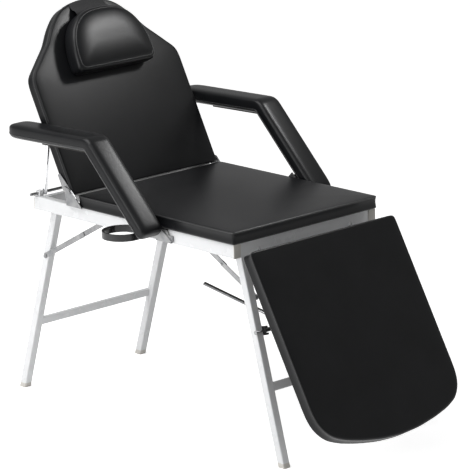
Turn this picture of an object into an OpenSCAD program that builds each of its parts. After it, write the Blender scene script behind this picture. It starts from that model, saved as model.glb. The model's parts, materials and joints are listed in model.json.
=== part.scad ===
// Folding treatment table with reclining back, tilting leg rest, lift-off armrests and folding legs.
// X runs across the table, Y from the leg rest to the back, Z up. Sizes are in millimetres.

/* [Side rails] */
// Width over the two side rails
rail_span = 550; // [520:1:600]
// How far the side rails run on behind the seat
rail_tail = 202; // [192:1:230]
// Width of the rail tube
rail_w = 25; // [22:1:30]
// Height of the rail tube
rail_h = 40; // [36:1:46]
// Height of the rails' upper face above the floor
rail_top = 619; // [600:1:640]
// Wall of the steel tubes
tube_wall = 1.5; // [1:0.1:2]

/* [Legs] */
// Side of the square leg tube
leg_w = 25; // [22:1:26]
// Splay of the rear legs from upright, in degrees
rear_splay = 17.7; // [16:0.1:19]
// Splay of the front legs from upright, in degrees
front_splay = 14.9; // [13:0.1:16]
// Height of a leg crossbar's centre above the floor
rear_bar_z = 209; // [190:1:230]
// Height of the front legs' crossbar above the floor
front_bar_z = 218; // [200:1:240]
// Depth of the crossbar tube
bar_d = 10; // [8:1:12]

/* [Cushions] */
// How far the seat, the back and the leg rest stand out over each rail
pad_overhang = 6; // [4:0.5:8]
// Thickness of the seat cushion with its board
pad_t = 37; // [32:1:42]
// Thickness of a cushion's plywood board
board_t = 9; // [8:1:10]
// Length of the seat
seat_len = 656; // [620:1:657]
// Length of the backrest from its lower end to the top of its head
back_len = 568; // [540:1:600]
// Length of the leg rest
leg_len = 597; // [560:1:620]

/* [Posture] */
// Angle of the backrest above horizontal as modelled, in degrees
back_angle = 63; // [61:0.5:65]
// Angle of the leg rest below horizontal as modelled, in degrees
leg_angle = 60.5; // [59:0.5:62]

/* [Armrests] */
// Width of an armrest
arm_w = 80; // [70:1:90]
// Thickness of an armrest
arm_t = 42; // [36:1:46]
// Length of the level part of an armrest, from the bend to the rear tip
arm_level = 355; // [340:1:400]
// Length of the sloping part of an armrest, from the bend to the lower end
arm_slope = 322; // [290:1:330]
// Angle of the sloping part, in degrees
arm_drop = 45.5; // [43:0.5:48]

/* [Pillow and holder] */
// Width of the head pillow
pillow_w = 297; // [260:1:310]
// Height of the head pillow along the backrest
pillow_h = 187; // [160:1:192]
// Thickness of the head pillow
pillow_t = 66; // [50:1:70]
// Inner radius of the holder ring
ring_r = 54; // [48:0.5:56]
// Wall of the holder ring
ring_wall = 4.5; // [3:0.5:6]
// Height of the holder ring
ring_h = 20; // [16:1:26]

/* [Rods and links] */
// Diameter of the chrome rods under the leg rest
rod_d = 16; // [14:1:18]
// Diameter of the bail's struts behind the backrest
strut_d = 15; // [12:1:15]
// Diameter of the bail's two cross rods
cross_d = 9; // [8:0.5:10]
// Thickness of a stay link
link_t = 2; // [1.5:0.1:2]
// Width of a stay link
link_w = 16; // [14:1:18]

/* [Hidden] */

$fn = 48;

// Clearances and overruns
run_gap = 0.05;      // radial gap of a pin in its hole
side_gap = 0.4;      // gap between plates that pass each other
soft_gap = 0.3;      // gap between a cushion and what it rests against
over = 1;            // how far a cut runs past a face

// Finishes
white_paint = "#e9eaec";
black_hide = "#2a2b2d";
zinc = "#a5a5a8";
chrome = "#d5d6da";
black_plastic = "#18191a";
beige_plastic = "#b5b0a8";
black_stain = "#1b1b1c";

// Rails
seat_front = -8;
rail_len = seat_front + seat_len + rail_tail;
rail_out = rail_span / 2;
pad_half = rail_out + pad_overhang;
rail_in = rail_out - rail_w;
rail_bottom = rail_top - rail_h;
rail_mid = rail_top - rail_h / 2;
tube_r = 3;
cap_t = 3;
lip_t = 4;
lip_w = 12;
rear_bar_gap = 14;
rear_bar_w = 20;
rear_bar_y = rail_len - rear_bar_gap - rear_bar_w;

// Legs: their tubes stand just inside the rails
leg_gap = 7;
leg_out = rail_in - leg_gap;
leg_in = leg_out - leg_w;
leg_r = leg_w / 2;
front_pivot_y = 25;
front_pivot_z = rail_top - leg_r - side_gap;
rear_pivot_gap = 52;
rear_pivot_y = rail_len - rear_pivot_gap;
rear_pivot_drop = 33;
rear_pivot_z = rail_top - rear_pivot_drop;
rear_fold = 105.2;
front_fold = 90 + front_splay;
pivot_r = 5;
pivot_head_r = 9;
pivot_head_t = 4;
foot_cap_h = 14;
bar_h = 25;
spacer_r = 8;

// Cradles bolted inside the front legs
cradle_t = 2;
cradle_u = 8;
cradle_gap = 0.8;
cradle_bolt_r = 3;
cradle_x = leg_in - cradle_t - cradle_u;

// Stays: each pair of links is straight when the leg is down and doubled back when it is folded
link_out1 = leg_out + side_gap;
link_out2 = link_out1 + link_t + side_gap;
link_in1 = leg_in - cradle_t - cradle_u - side_gap - link_t;
link_in2 = link_in1 - side_gap - link_t;
pin_r = 3;
pin_head_r = 6;
pin_head_t = 1.6;
rear_pin_along = 160.6;
front_pin_along = 151.7;
rear_anchor_gap = 233;
rear_anchor_y = rear_pivot_y - rear_anchor_gap;
rear_anchor_drop = 36;
front_anchor_y = 215;
front_anchor_drop = 37;
lock_band = 26;

// Backrest hinge and bail
back_hinge_gap = 29;
back_hinge_y = seat_front + seat_len + back_hinge_gap;
back_hinge_rise = 41;
back_hinge_z = rail_top + back_hinge_rise;
back_face_out = 12.4;
back_lap = 13;
hinge_plate_t = 3;
strap_t = 2;
strap_gap = 0.6;
strap_in = pad_half + strap_gap;
hinge_plate_in = strap_in + strap_t + side_gap;
hinge_pin_r = 4;
bail_gap = 8;
bail_y = rail_len - bail_gap;
bail_overhang = 20;
strut_gap = 8.5;
strut_x = rail_in - strut_gap;
rack_gap = 50;
rack_x = rail_in - rack_gap;
rack_t = 4;
bail_top_out = -33;
bail_z = back_hinge_z + bail_top_out;
bail_top_up = 223.3;

// Leg rest hinge, rods and clamps
leg_hinge_y = -5.5;
leg_hinge_drop = 35.2;
leg_hinge_z = rail_top - leg_hinge_drop;
leg_lap = 8.4;
leg_face_out = pad_t + leg_hinge_drop;
arm_plate_gap = 72;
arm_x = rail_in - arm_plate_gap;
arm_plate_t = 3;
rod_gap = 123;
rod_x = rail_in - rod_gap;
rod_joint_down = 267.9;
rod_joint_out = 11.7;
axle_y = -49;
axle_z = 372;
axle_r = 6;
clamp_w = 26;
clamp_r = 17;
rod_tail = 336;

// Armrests
arm_gap = 11;
arm_in = pad_half + arm_gap;
arm_top_z = 862;
arm_bend_gap = 150;
arm_bend_y = seat_front + seat_len - arm_bend_gap;
wedge_t = pad_overhang;
wedge_gap = 217;
wedge_y = arm_bend_y - wedge_gap;
wedge_low = 64;
wedge_high = 31;
wedge_h = 37;
keeper_t = 3;

// Holder ring
ring_gap = 68;
ring_x = rail_out + ring_gap;
ring_back = 101;
ring_y = wedge_y + ring_back;
ring_z = 590;

// Small helpers
function rot2(p, a) = [p[0] * cos(a) - p[1] * sin(a), p[0] * sin(a) + p[1] * cos(a)];
function unit(v) = v / norm(v);
corner_steps = 4;
function corner(cx, cy, r, a0) =
    [for (i = [0:corner_steps]) let (a = a0 + i * 90 / corner_steps) [cx + r * cos(a), cy + r * sin(a)]];
function round_box(w, h, r) = concat(
    corner(w / 2 - r, h / 2 - r, r, 0), corner(r - w / 2, h / 2 - r, r, 90),
    corner(r - w / 2, r - h / 2, r, 180), corner(w / 2 - r, r - h / 2, r, 270));

// Everything is drawn with X = 0 in the middle and Y = 0 at the rails' front ends
module place() {
    translate([origin_x, origin_y, 0]) children();
}
// side = -1 is the left of the table as seen from its front, +1 the right
module both_sides() {
    children();
    mirror([1, 0, 0]) children();
}
// A profile in the Y-Z plane, extruded along X from x0 by t
module yz_plate(x0, t) {
    translate([x0, 0, 0]) rotate([90, 0, 90]) linear_extrude(t) children();
}
module x_pin(r, x0, len, y, z) {
    translate([x0, y, z]) rotate([0, 90, 0]) cylinder(r = r, h = len);
}
module back_pose() {
    translate([0, back_hinge_y, back_hinge_z]) rotate([back_angle, 0, 0]) children();
}
module leg_rest_pose() {
    translate([0, leg_hinge_y, leg_hinge_z]) rotate([leg_angle, 0, 0]) mirror([0, 1, 0]) children();
}

// Linkage geometry, all in the Y-Z plane
rear_pivot = [rear_pivot_y, rear_pivot_z];
front_pivot = [front_pivot_y, front_pivot_z];
rear_pin = rear_pivot + rear_pin_along * [sin(rear_splay), -cos(rear_splay)];
front_pin = front_pivot + front_pin_along * [-sin(front_splay), -cos(front_splay)];
rear_anchor = [rear_anchor_y, rail_top - rear_anchor_drop];
front_anchor = [front_anchor_y, rail_top - front_anchor_drop];
rear_pin_folded = rear_pivot + rot2(rear_pin - rear_pivot, -rear_fold);
front_pin_folded = front_pivot + rot2(front_pin - front_pivot, front_fold);
function knee_len(pin, folded, anchor) = (norm(pin - anchor) - norm(folded - anchor)) / 2;
function knee(pin, folded, anchor) = anchor + knee_len(pin, folded, anchor) * unit(pin - anchor);
rear_knee = knee(rear_pin, rear_pin_folded, rear_anchor);
front_knee = knee(front_pin, front_pin_folded, front_anchor);

// The bail: its top rod runs along the racks as the back comes down
back_rear_out = back_face_out - pad_t;
bail_foot = [bail_y - back_hinge_y, bail_z - back_hinge_z];
bail_head = rot2([bail_top_up, bail_top_out], back_angle) - bail_foot;
bail_len = norm(bail_head);
bail_angle = atan2(bail_head[1], bail_head[0]);
function bail_path(share) =
    rot2(bail_foot + bail_len * [cos(bail_angle * share), sin(bail_angle * share)], -back_angle * share);
function notch_s(angle) =
    let (f = rot2(bail_foot, -angle)) f[0] + sqrt(pow(bail_len, 2) - pow(bail_top_out - f[1], 2));

// The rods under the leg rest
leg_hinge = [leg_hinge_y, leg_hinge_z];
function leg_point(s, n) = leg_hinge + rot2([-s, n], leg_angle);
rod_joint = leg_point(rod_joint_down, rod_joint_out);
axle = [axle_y, axle_z];
rod_slope = atan2(axle[1] - rod_joint[1], axle[0] - rod_joint[0]);
rod_front = norm(axle - rod_joint);

// Cushion edges
edge_r = 7;
// Side profile of a boxed cushion, as shares of its edge radius and its thickness
side_shares = [[0.7, 0], [0, 0.08], [0.45, 0.3], [0.6, 0.5], [0.45, 0.7], [0, 0.88], [0.35, 0.96], [1, 1]];

// The origin stands on the floor under the middle of the whole table
rear_reach = rear_pivot_y + rear_pivot_z * tan(rear_splay) + leg_r / cos(rear_splay);
front_reach = -min([for (s = side_shares)
    leg_point(leg_lap + leg_len - edge_r * s[0], leg_face_out - (pad_t - board_t) * (1 - s[1]))[0]]);
origin_x = (ring_x + ring_r + ring_wall - arm_in - arm_w) / 2;
origin_y = -(rear_reach - front_reach) / 2;

// Side rails and cross rails
module side_rail() {
    difference() {
        translate([rail_in, 0, rail_bottom]) rotate([-90, 0, 0]) mirror([0, 1, 0])
            linear_extrude(rail_len) translate([rail_w / 2, rail_h / 2]) difference() {
                polygon(round_box(rail_w, rail_h, tube_r));
                polygon(round_box(rail_w - 2 * tube_wall, rail_h - 2 * tube_wall, tube_r - tube_wall));
            }
        for (p = [front_pivot, rear_pivot])
            x_pin(pivot_r + run_gap, rail_in - over, tube_wall + 2 * over, p[0], p[1]);
        x_pin(pin_r + run_gap, rail_in - over, tube_wall + 2 * over, rear_anchor[0], rear_anchor[1]);
        for (y = screw_ys)
            translate([screw_x, y, rail_bottom - over]) cylinder(r = screw_r + run_gap, h = rail_h + 2 * over);
    }
}
screw_gap = 13;
screw_x = rail_out - screw_gap;
screw_r = 2.5;
screw_head_r = 5;
screw_head_t = 2.4;
seat_screw_from = 60;
seat_screw_end = 20;
seat_screw_to = seat_front + seat_len - seat_screw_end;
seat_screw_ys = [seat_screw_from, (seat_screw_from + seat_screw_to) / 2, seat_screw_to];
hinge_screw_gap = 13;
hinge_screw_y = back_hinge_y - hinge_screw_gap;
screw_ys = concat(seat_screw_ys, [hinge_screw_y]);

module side_rail_left() {
    color(white_paint) place() mirror([1, 0, 0]) side_rail();
}
module side_rail_right() {
    color(white_paint) place() side_rail();
}
module rail_caps() {
    plug = 12;
    color(beige_plastic) place() both_sides() for (y = [0, rail_len])
        translate([rail_in + rail_w / 2, y, rail_mid]) mirror([0, y > 0 ? 1 : 0, 0])
            rotate([90, 0, 0]) difference() {
                union() {
                    linear_extrude(cap_t) polygon(round_box(rail_w, rail_h, tube_r));
                    translate([0, 0, -plug]) linear_extrude(plug)
                        polygon(round_box(rail_w - 2 * tube_wall - 2 * run_gap,
                            rail_h - 2 * tube_wall - 2 * run_gap, tube_wall));
                }
                translate([0, 0, -plug - over]) linear_extrude(plug + over)
                    polygon(round_box(rail_w - 6 * tube_wall, rail_h - 6 * tube_wall, tube_wall));
            }
}
module front_cross_rail() {
    color(white_paint) place() yz_plate(-rail_in, 2 * rail_in)
        polygon([[0, rail_bottom], [lip_t, rail_bottom], [lip_t, rail_top - lip_t], [lip_w, rail_top - lip_t],
            [lip_w, rail_top], [0, rail_top]]);
}
module rear_cross_rail() {
    color(white_paint) place() yz_plate(-rail_in, 2 * rail_in) translate([rear_bar_y + rear_bar_w / 2, rail_mid])
        difference() {
            polygon(round_box(rear_bar_w, rail_h, tube_r));
            polygon(round_box(rear_bar_w - 2 * tube_wall, rail_h - 2 * tube_wall, tube_r - tube_wall));
        }
}
module rail_screws() {
    color(zinc) place() both_sides() {
        for (y = seat_screw_ys)
            translate([screw_x, y, rail_bottom]) {
                cylinder(r = screw_r, h = rail_h + board_t * 2 / 3);
                translate([0, 0, -screw_head_t])
                    cylinder(r1 = screw_head_r * 0.8, r2 = screw_head_r, h = screw_head_t);
            }
        translate([screw_x, hinge_screw_y, rail_bottom - screw_head_t]) {
            cylinder(r = screw_r, h = rail_h + screw_head_t + hinge_plate_t);
            cylinder(r = screw_head_r, h = screw_head_t);
            translate([0, 0, screw_head_t + rail_h + hinge_plate_t]) cylinder(r = screw_head_r, h = screw_head_t);
        }
    }
}

// Legs
module leg_prism(splay, len, w) {
    rotate([splay, 0, 0]) translate([leg_out - leg_r, 0, -len])
        linear_extrude(len + leg_w) polygon(round_box(w, w, tube_r - (leg_w - w) / 2));
}
module leg_tube(pivot, splay, pin, pin_side, cradle) {
    reach = pivot[1] / cos(splay) + leg_w;
    difference() {
        intersection() {
            translate([0, pivot[0], pivot[1]]) leg_prism(splay, reach, leg_w);
            translate([leg_in - over, pivot[0], pivot[1]]) union() {
                rotate([0, 90, 0]) cylinder(r = leg_r, h = leg_w + 2 * over);
                rotate([splay, 0, 0]) translate([0, -leg_r, -reach]) cube([leg_w + 2 * over, leg_w, reach]);
            }
            translate([0, pivot[0] - reach, foot_cap_h]) cube([rail_out, 2 * reach, rail_top]);
        }
        translate([0, pivot[0], pivot[1]]) rotate([splay, 0, 0])
            translate([leg_out - leg_r, 0, -reach]) linear_extrude(reach - leg_w)
                polygon(round_box(leg_w - 2 * tube_wall, leg_w - 2 * tube_wall, tube_r - tube_wall));
        x_pin(pivot_r + run_gap, leg_in - over, leg_w + 2 * over, pivot[0], pivot[1]);
        x_pin(pin_r + run_gap, (pin_side > 0 ? leg_out : leg_in) - over - tube_wall,
            2 * tube_wall + 2 * over, pin[0], pin[1]);
        if (cradle) x_pin(cradle_bolt_r + run_gap, leg_in - over, leg_w + 2 * over, axle[0], axle[1]);
    }
}
module rear_leg() {
    leg_tube(rear_pivot, rear_splay, rear_pin, 1, false);
}
module front_leg() {
    leg_tube(front_pivot, -front_splay, front_pin, -1, true);
}
module rear_leg_left() {
    color(white_paint) place() mirror([1, 0, 0]) rear_leg();
}
module rear_leg_right() {
    color(white_paint) place() rear_leg();
}
module front_leg_left() {
    color(white_paint) place() mirror([1, 0, 0]) front_leg();
}
module front_leg_right() {
    color(white_paint) place() front_leg();
}
module crossbar(pivot, splay, bar_z, face) {
    color(white_paint) place() translate([0, pivot[0], pivot[1]]) rotate([splay, 0, 0])
        yz_plate(-leg_in, 2 * leg_in)
            translate([face * (leg_r - bar_d / 2), -(pivot[1] - bar_z) / cos(splay)]) difference() {
                polygon(round_box(bar_d, bar_h, tube_wall));
                square([bar_d - 2 * tube_wall, bar_h - 2 * tube_wall], center = true);
            }
}
module rear_crossbar() {
    crossbar(rear_pivot, rear_splay, rear_bar_z, 1);
}
module front_crossbar() {
    crossbar(front_pivot, -front_splay, front_bar_z, -1);
}
module foot_caps(pivot, splay) {
    reach = pivot[1] / cos(splay) + leg_w;
    color(beige_plastic) place() both_sides() intersection() {
        translate([0, pivot[0], pivot[1]]) leg_prism(splay, reach, leg_w);
        translate([0, pivot[0] - reach, 0]) cube([rail_out, 2 * reach, foot_cap_h]);
    }
}
module rear_foot_caps() {
    foot_caps(rear_pivot, rear_splay);
}
module front_foot_caps() {
    foot_caps(front_pivot, -front_splay);
}
module leg_pivot_bolts() {
    color(zinc) place() both_sides() for (p = [front_pivot, rear_pivot]) {
        x_pin(pivot_r, leg_in - pivot_head_t, rail_in - leg_in + pivot_head_t + tube_wall, p[0], p[1]);
        x_pin(pivot_head_r, leg_in - side_gap - pivot_head_t, pivot_head_t, p[0], p[1]);
        x_pin(spacer_r, leg_out + side_gap, leg_gap - side_gap, p[0], p[1]);
    }
}

// Folding stays
module link(from, to, x0, holes) {
    yz_plate(x0, link_t) difference() {
        union() {
            for (p = [from, to]) translate(p) circle(link_w / 2);
            translate(from) rotate(atan2(to[1] - from[1], to[0] - from[0])) translate([0, side_gap - link_w / 2])
                square([norm(to - from), link_w - 2 * side_gap]);
        }
        for (p = holes) translate(p) circle(pin_r + run_gap);
    }
}
module knee_band(knee, dir, x0, t) {
    yz_plate(x0, t) translate(knee) rotate(dir) polygon(round_box(lock_band, link_w - 2 * tube_wall, tube_wall));
}
rear_link_dir = atan2(rear_pin[1] - rear_anchor[1], rear_pin[0] - rear_anchor[0]);
front_link_dir = atan2(front_pin[1] - front_anchor[1], front_pin[0] - front_anchor[0]);
module rear_stay_lower() {
    color(zinc) place() both_sides() link(rear_pin, rear_knee, link_out1, [rear_pin, rear_knee]);
}
module rear_stay_upper() {
    color(zinc) place() both_sides() {
        link(rear_knee, rear_anchor, link_out2, [rear_anchor]);
        knee_band(rear_knee, rear_link_dir, link_out2 + link_t, rail_in - link_out2 - link_t - side_gap);
    }
}
module front_stay_lower() {
    color(zinc) place() both_sides() link(front_pin, front_knee, link_in1, [front_pin, front_knee]);
}
module front_stay_upper() {
    color(zinc) place() both_sides() {
        link(front_knee, front_anchor, link_in2, [front_anchor]);
        knee_band(front_knee, front_link_dir, link_in2 - tube_wall, tube_wall);
    }
}
module rear_stay_pins() {
    color(zinc) place() both_sides() {
        x_pin(pin_r, leg_out - tube_wall, tube_wall + 2 * side_gap + link_t, rear_pin[0], rear_pin[1]);
        x_pin(pin_head_r, link_out1 + link_t + side_gap / 2, pin_head_t, rear_pin[0], rear_pin[1]);
    }
}
module front_stay_pins() {
    color(zinc) place() both_sides() {
        x_pin(pin_r, link_in1 - side_gap / 2, leg_in + tube_wall - link_in1 + side_gap / 2,
            front_pin[0], front_pin[1]);
        x_pin(pin_head_r, link_in1 - side_gap / 2 - pin_head_t, pin_head_t, front_pin[0], front_pin[1]);
        x_pin(pin_head_r, link_in1 + link_t + side_gap, leg_in - link_in1 - link_t - side_gap,
            front_pin[0], front_pin[1]);
    }
}
lug_t = 3;
lug_x = link_in2 - side_gap - 2 * lug_t;
module stay_frame_pins() {
    collar_r = pin_head_r;
    color(zinc) place() both_sides() {
        x_pin(pin_r, link_out2, rail_in + tube_wall - link_out2, rear_anchor[0], rear_anchor[1]);
        x_pin(collar_r, link_out2 + link_t + side_gap, rail_in - link_out2 - link_t - side_gap,
            rear_anchor[0], rear_anchor[1]);
        x_pin(pin_r, lug_x - lug_t / 2, link_in2 + link_t - lug_x + lug_t / 2, front_anchor[0], front_anchor[1]);
        x_pin(collar_r, lug_x + lug_t, link_in2 - side_gap - lug_x - lug_t, front_anchor[0], front_anchor[1]);
    }
}
module stay_lugs() {
    foot = 34;
    color(zinc) place() both_sides() difference() {
        union() {
            yz_plate(lug_x, lug_t) union() {
                translate(front_anchor) circle(pin_head_r + lug_t);
                polygon([[front_anchor[0] - pin_head_r - lug_t, front_anchor[1]],
                    [front_anchor[0] + pin_head_r + lug_t, front_anchor[1]],
                    [front_anchor[0] + foot / 2, rail_top], [front_anchor[0] - foot / 2, rail_top]]);
            }
            translate([lug_x - foot, front_anchor[0] - foot / 2, rail_top - lug_t])
                cube([foot + lug_t, foot, lug_t]);
        }
        x_pin(pin_r + run_gap, lug_x - over, lug_t + 2 * over, front_anchor[0], front_anchor[1]);
    }
}

// Cradles on the front legs, open to the front, that hold the clamp axle
module cradles() {
    mouth = axle_r + cradle_gap;
    color(black_plastic) place() both_sides() difference() {
        translate([cradle_x, axle[0], axle[1]]) rotate([-front_splay, 0, 0]) union() {
            translate([cradle_u, -leg_r, -leg_r]) cube([cradle_t, leg_w, leg_w]);
            difference() {
                translate([0, -leg_r, -leg_r]) cube([cradle_u, leg_w, leg_w]);
                rotate([0, 90, 0]) translate([0, 0, -over]) cylinder(r = mouth, h = cradle_u + over);
                translate([-over, -leg_w, -mouth]) cube([cradle_u + over, leg_w, 2 * mouth]);
            }
        }
        x_pin(cradle_bolt_r + run_gap, leg_in - cradle_t - over, cradle_t + 2 * over, axle[0], axle[1]);
    }
}
module cradle_bolts() {
    head = 2.5;
    color(zinc) place() both_sides() {
        x_pin(cradle_bolt_r, leg_in - cradle_t, leg_w + cradle_t, axle[0], axle[1]);
        x_pin(2 * cradle_bolt_r, leg_out, head, axle[0], axle[1]);
    }
}

// Cushion forms: rings of an outline, drawn in at the sides and crowned on top
function turn(v) = [v[1], -v[0]];
function shrink(pts, d) =
    let (n = len(pts)) [for (i = [0:n - 1])
        let (t = unit(pts[(i + 1) % n] - pts[(i + n - 1) % n])) pts[i] - d * turn(t)];
function centre(pts) = let (n = len(pts)) [for (k = [0:1]) [for (p = pts) p[k]] * [for (p = pts) 1] / n];
function toward(pts, share) = let (c = centre(pts)) [for (p = pts) c + (p - c) * share];
function at_height(pts, z) = [for (p = pts) [p[0], p[1], z]];
function crown_z(share, rise) = rise * (1 - share * share);
crown_shares = [0.9, 0.72, 0.45, 0.2];
module rings_solid(rings) {
    n = len(rings[0]);
    m = len(rings);
    pts = [for (r = rings) each r];
    faces = concat(
        [[for (i = [0:n - 1]) i]],
        [for (k = [0:m - 2]) for (i = [0:n - 1]) let (a = k * n + i, b = k * n + (i + 1) % n) each
            [[a, a + n, b], [b, a + n, b + n]]],
        [[for (i = [n - 1:-1:0]) (m - 1) * n + i]]);
    polyhedron(pts, faces);
}
module cushion(outline, t, edge, rise) {
    body = [for (s = side_shares) at_height(shrink(outline, edge * s[0]), t * s[1])];
    top = shrink(outline, edge);
    crown = [for (s = crown_shares) at_height(toward(top, s), t + crown_z(s, rise))];
    rings_solid(concat(body, crown));
}
crown_rise = 3;
function half_outline(shares, w, l) = concat(
    [for (p = shares) [p[0] * w, p[1] * l]],
    [for (i = [len(shares) - 1:-1:0]) if (shares[i][0] > 0) [-shares[i][0] * w, shares[i][1] * l]]);

// Seat
seat_r = 9;
module seat_board() {
    color(black_stain) place() difference() {
        translate([0, seat_front + seat_len / 2, rail_top]) linear_extrude(board_t)
            polygon(round_box(2 * (pad_half - edge_r), seat_len - 2 * edge_r, seat_r));
        both_sides() for (y = seat_screw_ys)
            translate([screw_x, y, rail_top - over]) cylinder(r = screw_r + run_gap, h = board_t + 2 * over);
    }
}
module seat_pad() {
    color(black_hide) place() translate([0, seat_front + seat_len / 2, rail_top + board_t])
        cushion(round_box(2 * pad_half, seat_len, seat_r), pad_t - board_t, edge_r, crown_rise);
}

// Backrest: s runs up the back from the hinge, n stands out of its front
back_shares = [[0.985, 0], [1, 0.015], [1, 0.2], [1, 0.4], [1, 0.6], [0.985, 0.645], [0.915, 0.677],
    [0.787, 0.738], [0.656, 0.7985], [0.578, 0.856], [0.489, 0.904], [0.394, 0.947], [0.291, 0.974],
    [0.138, 0.992], [0, 1]];
module back_board() {
    color(black_stain) place() back_pose() difference() {
        translate([0, edge_r - back_lap, back_rear_out]) linear_extrude(board_t)
            polygon(half_outline(back_shares, pad_half - edge_r, back_len - 2 * edge_r));
        both_sides() for (s = strap_screw_s)
            translate([strap_screw_x, s, back_rear_out - over]) cylinder(r = screw_r + run_gap, h = board_t + over);
    }
}
module back_pad() {
    color(black_hide) place() back_pose() translate([0, -back_lap, back_rear_out + board_t])
        cushion(half_outline(back_shares, pad_half, back_len), pad_t - board_t, edge_r, crown_rise);
}
strap_screw_x = screw_x;
strap_screw_s = [22, 46];
strap_len = 62;
strap_foot = 30;
module back_hinge_straps() {
    foot_n = back_rear_out - strap_t;
    color(zinc) place() back_pose() both_sides() difference() {
        union() {
            yz_plate(strap_in, strap_t) union() {
                circle(2 * hinge_pin_r);
                polygon([[0, 2 * hinge_pin_r], [strap_len, back_rear_out + board_t], [strap_len, foot_n],
                    [board_t, foot_n], [-2 * hinge_pin_r, 0]]);
            }
            translate([strap_in - strap_foot, board_t, foot_n])
                cube([strap_foot + strap_t, strap_len - board_t, strap_t]);
        }
        x_pin(hinge_pin_r + run_gap, strap_in - over, strap_t + 2 * over, 0, 0);
        for (s = strap_screw_s)
            translate([strap_screw_x, s, foot_n - over]) cylinder(r = screw_r + run_gap, h = strap_t + 2 * over);
    }
    color(zinc) place() back_pose() both_sides() for (s = strap_screw_s)
        translate([strap_screw_x, s, foot_n]) {
            cylinder(r = screw_r, h = strap_t + board_t * 2 / 3);
            translate([0, 0, -screw_head_t]) cylinder(r = screw_head_r, h = screw_head_t);
        }
}
plate_reach = 55;
plate_front = back_hinge_y - plate_reach;
plate_rear = back_hinge_y + hinge_screw_gap;
module back_hinge_plates() {
    tip = 14;
    foot_start = hinge_screw_y - hinge_screw_gap;
    color(zinc) place() both_sides() difference() {
        union() {
            yz_plate(hinge_plate_in, hinge_plate_t)
                polygon([[plate_front, rail_top], [plate_rear, rail_top],
                    [back_hinge_y + 1.5 * tip, back_hinge_z + tip], [back_hinge_y - tip / 2, back_hinge_z + tip / 2]]);
            translate([screw_x - 2 * screw_head_r, foot_start, rail_top])
                cube([hinge_plate_in + hinge_plate_t - screw_x + 2 * screw_head_r, plate_rear - foot_start,
                    hinge_plate_t]);
        }
        x_pin(hinge_pin_r + run_gap, hinge_plate_in - over, hinge_plate_t + 2 * over, back_hinge_y, back_hinge_z);
        translate([screw_x, hinge_screw_y, rail_top - over])
            cylinder(r = screw_r + run_gap, h = hinge_plate_t + 2 * over);
    }
}
module back_hinge_pins() {
    head = 2.5;
    color(zinc) place() both_sides() {
        x_pin(hinge_pin_r, strap_in, hinge_plate_in + hinge_plate_t - strap_in, back_hinge_y, back_hinge_z);
        x_pin(1.6 * hinge_pin_r, hinge_plate_in + hinge_plate_t, head, back_hinge_y, back_hinge_z);
    }
}

// Racks under the back: a heel behind the modelled notch, then notches at the other back angles
notch_angles = [51, 44, 37, 30, 23, 16];
rack_steps = 24;
module back_racks() {
    cross_r = cross_d / 2;
    floor_n = bail_top_out + cross_r;
    clear = 2 * side_gap;
    heel = cross_d;
    low_edge = [for (i = [0:rack_steps]) let (p = bail_path(1 - i / rack_steps))
        [p[0], max(p[1] + cross_r + clear, bail_top_out)]];
    start_s = bail_top_up - cross_r - clear;
    end_s = low_edge[rack_steps][0] + cross_r + clear;
    color(zinc) place() back_pose() both_sides() {
        yz_plate(rack_x - rack_t / 2, rack_t) difference() {
            polygon(concat(
                [[start_s - heel, back_rear_out], [start_s - heel, bail_top_out - cross_r],
                    [start_s, bail_top_out - cross_r], [start_s, floor_n + clear]],
                low_edge,
                [[end_s, floor_n + clear], [end_s, bail_top_out - cross_r], [end_s + heel, bail_top_out - cross_r],
                    [end_s + heel, back_rear_out]]));
            for (a = notch_angles) translate([notch_s(a), bail_top_out]) circle(cross_r + side_gap);
            translate(bail_path(0)) circle(cross_r + side_gap);
        }
    }
}
module bail_brackets() {
    w = 15;
    depth = 16.8;
    rise = back_hinge_z + back_rear_out - side_gap - rail_top;
    color(white_paint) place() both_sides() difference() {
        translate([rail_in + tube_r, bail_y - cross_d, rail_top]) cube([w, depth, rise]);
        x_pin(cross_d / 2 + run_gap, rail_in, w + 2 * tube_r, bail_y, bail_z);
    }
}
module bail_rod() {
    reach = rail_out + bail_overhang;
    color(zinc) place() x_pin(cross_d / 2, -reach, 2 * reach, bail_y, bail_z);
}
bail_end = bail_len * [cos(bail_angle), sin(bail_angle)];
module bail_struts() {
    r = strut_d / 2;
    color(chrome) place() both_sides() difference() {
        translate([strut_x, bail_y, bail_z]) rotate([bail_angle - 90, 0, 0]) {
            translate([0, 0, -cross_d * 0.7]) cylinder(r = r, h = bail_len + cross_d * 0.7);
            translate([0, 0, bail_len]) cylinder(r1 = r, r2 = r * 0.6, h = cross_d * 0.7);
        }
        x_pin(cross_d / 2 + run_gap, strut_x - strut_d, 2 * strut_d, bail_y, bail_z);
        x_pin(cross_d / 2 + run_gap, strut_x - strut_d, 2 * strut_d, bail_y + bail_end[0], bail_z + bail_end[1]);
    }
}
module bail_top_rod() {
    reach = strut_x + strut_d;
    color(zinc) place() x_pin(cross_d / 2, -reach, 2 * reach, bail_y + bail_end[0], bail_z + bail_end[1]);
}

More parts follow.
